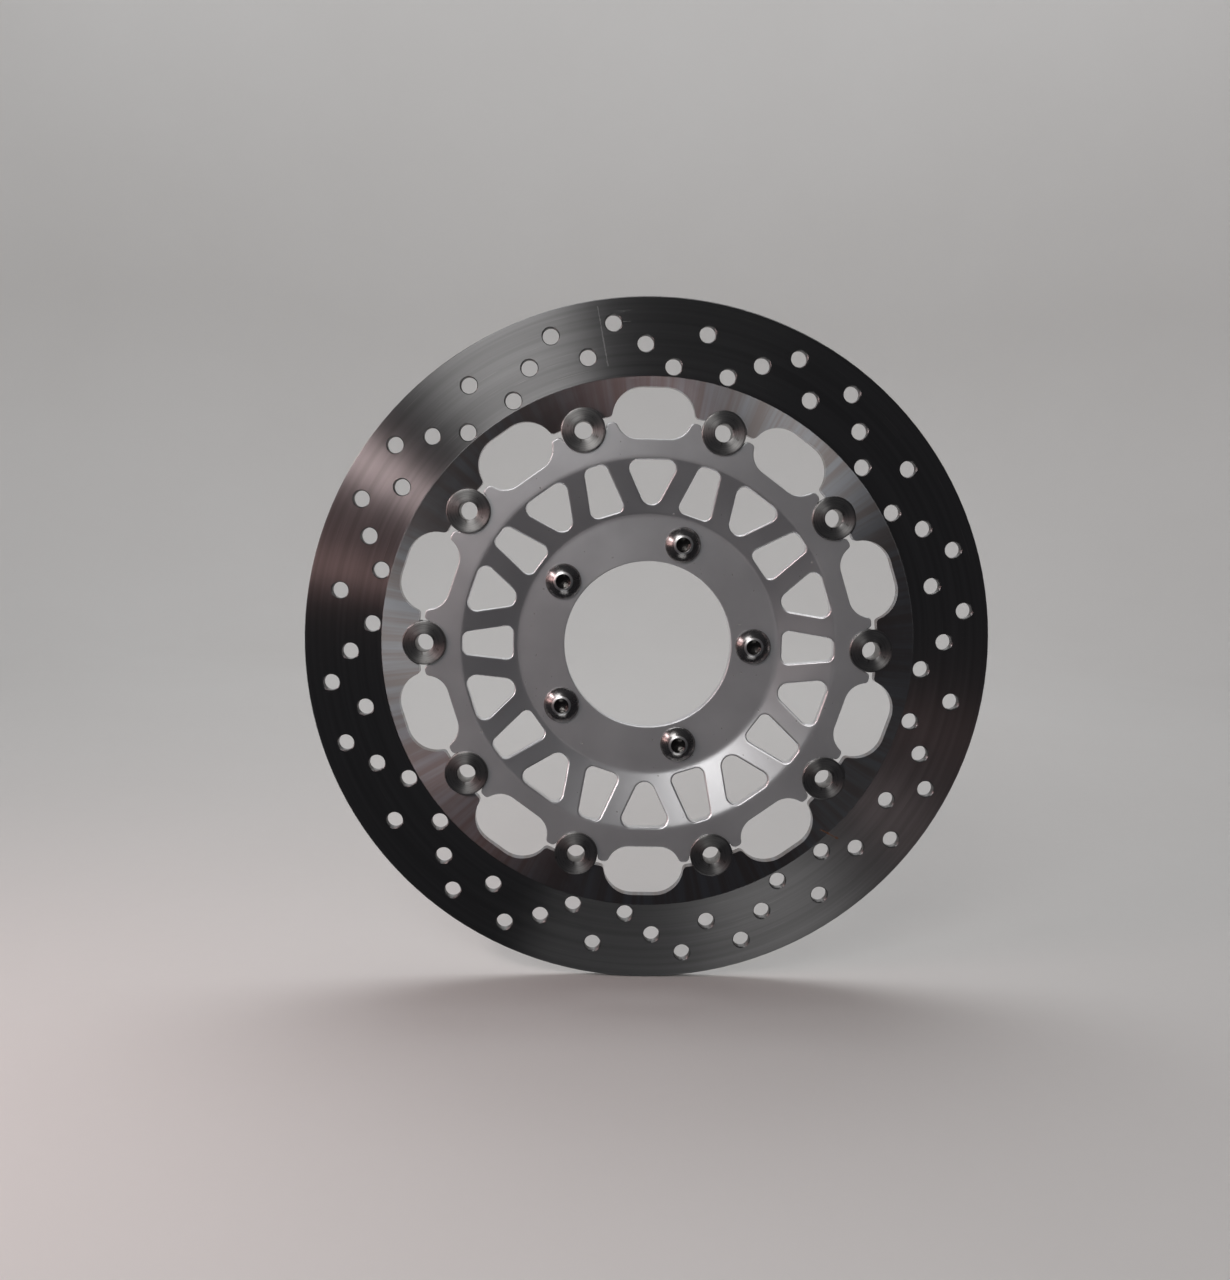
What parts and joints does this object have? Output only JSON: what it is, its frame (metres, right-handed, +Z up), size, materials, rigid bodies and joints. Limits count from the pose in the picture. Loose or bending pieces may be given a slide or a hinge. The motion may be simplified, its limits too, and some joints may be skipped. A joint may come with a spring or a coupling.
{
  "type": "floating brake disc rotor",
  "caption": "Floating brake disc: a drilled steel friction ring held to a dished alloy carrier by round float buttons, with the bolts that fix it to a wheel hub.",
  "frame": {"origin": "on the spin axis at the carrier's mounting face, which is the back face of its bolted flange", "axes": "Y is the spin axis: +Y points into the wheel, -Y is the side that is seen. +Z is up and +X is right as seen from -Y. The first button and the first wheel bolt lie on +X."},
  "size_m": [0.32, 0.0357, 0.32],
  "materials": {
    "disc_steel": "ground stainless, circular grain on the pad track, dull and rougher inside it",
    "carrier_alloy": "satin, bead blasted",
    "button_steel": "turned",
    "washer_steel": "plated",
    "spring_steel": "oiled black spring steel",
    "bolt_plating": "dark bright plating"
  },
  "bodies": {
    "carrier": {"carrier": "carrier_alloy", "wheel_bolt_1": "bolt_plating", "wheel_bolt_2": "bolt_plating", "wheel_bolt_3": "bolt_plating", "wheel_bolt_4": "bolt_plating", "wheel_bolt_5": "bolt_plating"},
    "ring": {"friction_ring": "disc_steel"},
    "button_set_1": {"button_1": "button_steel", "flat_washer_1": "washer_steel", "spring_washer_1": "spring_steel", "clip_1": "spring_steel"},
    "button_set_2": {"button_2": "button_steel", "flat_washer_2": "washer_steel", "spring_washer_2": "spring_steel", "clip_2": "spring_steel"},
    "button_set_3": {"button_3": "button_steel", "flat_washer_3": "washer_steel", "spring_washer_3": "spring_steel", "clip_3": "spring_steel"},
    "button_set_4": {"button_4": "button_steel", "flat_washer_4": "washer_steel", "spring_washer_4": "spring_steel", "clip_4": "spring_steel"},
    "button_set_5": {"button_5": "button_steel", "flat_washer_5": "washer_steel", "spring_washer_5": "spring_steel", "clip_5": "spring_steel"},
    "button_set_6": {"button_6": "button_steel", "flat_washer_6": "washer_steel", "spring_washer_6": "spring_steel", "clip_6": "spring_steel"},
    "button_set_7": {"button_7": "button_steel", "flat_washer_7": "washer_steel", "spring_washer_7": "spring_steel", "clip_7": "spring_steel"},
    "button_set_8": {"button_8": "button_steel", "flat_washer_8": "washer_steel", "spring_washer_8": "spring_steel", "clip_8": "spring_steel"},
    "button_set_9": {"button_9": "button_steel", "flat_washer_9": "washer_steel", "spring_washer_9": "spring_steel", "clip_9": "spring_steel"},
    "button_set_10": {"button_10": "button_steel", "flat_washer_10": "washer_steel", "spring_washer_10": "spring_steel", "clip_10": "spring_steel"}
  },
  "joints": [
    {"name": "ring_float", "type": "slide", "parent": "carrier", "child": "ring", "axis": [0, 1, 0], "range_m": [-0.00015, 0.00015]},
    {"name": "button_turn_1", "type": "hinge", "parent": "carrier", "child": "button_set_1", "pos_m": [0.1044, -0.0115, 0], "axis": [0, 1, 0], "continuous": true},
    {"name": "button_turn_2", "type": "hinge", "parent": "carrier", "child": "button_set_2", "pos_m": [0.08446, -0.0115, -0.06137], "axis": [0, 1, 0], "continuous": true},
    {"name": "button_turn_3", "type": "hinge", "parent": "carrier", "child": "button_set_3", "pos_m": [0.03226, -0.0115, -0.09929], "axis": [0, 1, 0], "continuous": true},
    {"name": "button_turn_4", "type": "hinge", "parent": "carrier", "child": "button_set_4", "pos_m": [-0.03226, -0.0115, -0.09929], "axis": [0, 1, 0], "continuous": true},
    {"name": "button_turn_5", "type": "hinge", "parent": "carrier", "child": "button_set_5", "pos_m": [-0.08446, -0.0115, -0.06137], "axis": [0, 1, 0], "continuous": true},
    {"name": "button_turn_6", "type": "hinge", "parent": "carrier", "child": "button_set_6", "pos_m": [-0.1044, -0.0115, 0], "axis": [0, 1, 0], "continuous": true},
    {"name": "button_turn_7", "type": "hinge", "parent": "carrier", "child": "button_set_7", "pos_m": [-0.08446, -0.0115, 0.06137], "axis": [0, 1, 0], "continuous": true},
    {"name": "button_turn_8", "type": "hinge", "parent": "carrier", "child": "button_set_8", "pos_m": [-0.03226, -0.0115, 0.09929], "axis": [0, 1, 0], "continuous": true},
    {"name": "button_turn_9", "type": "hinge", "parent": "carrier", "child": "button_set_9", "pos_m": [0.03226, -0.0115, 0.09929], "axis": [0, 1, 0], "continuous": true},
    {"name": "button_turn_10", "type": "hinge", "parent": "carrier", "child": "button_set_10", "pos_m": [0.08446, -0.0115, 0.06137], "axis": [0, 1, 0], "continuous": true}
  ]
}
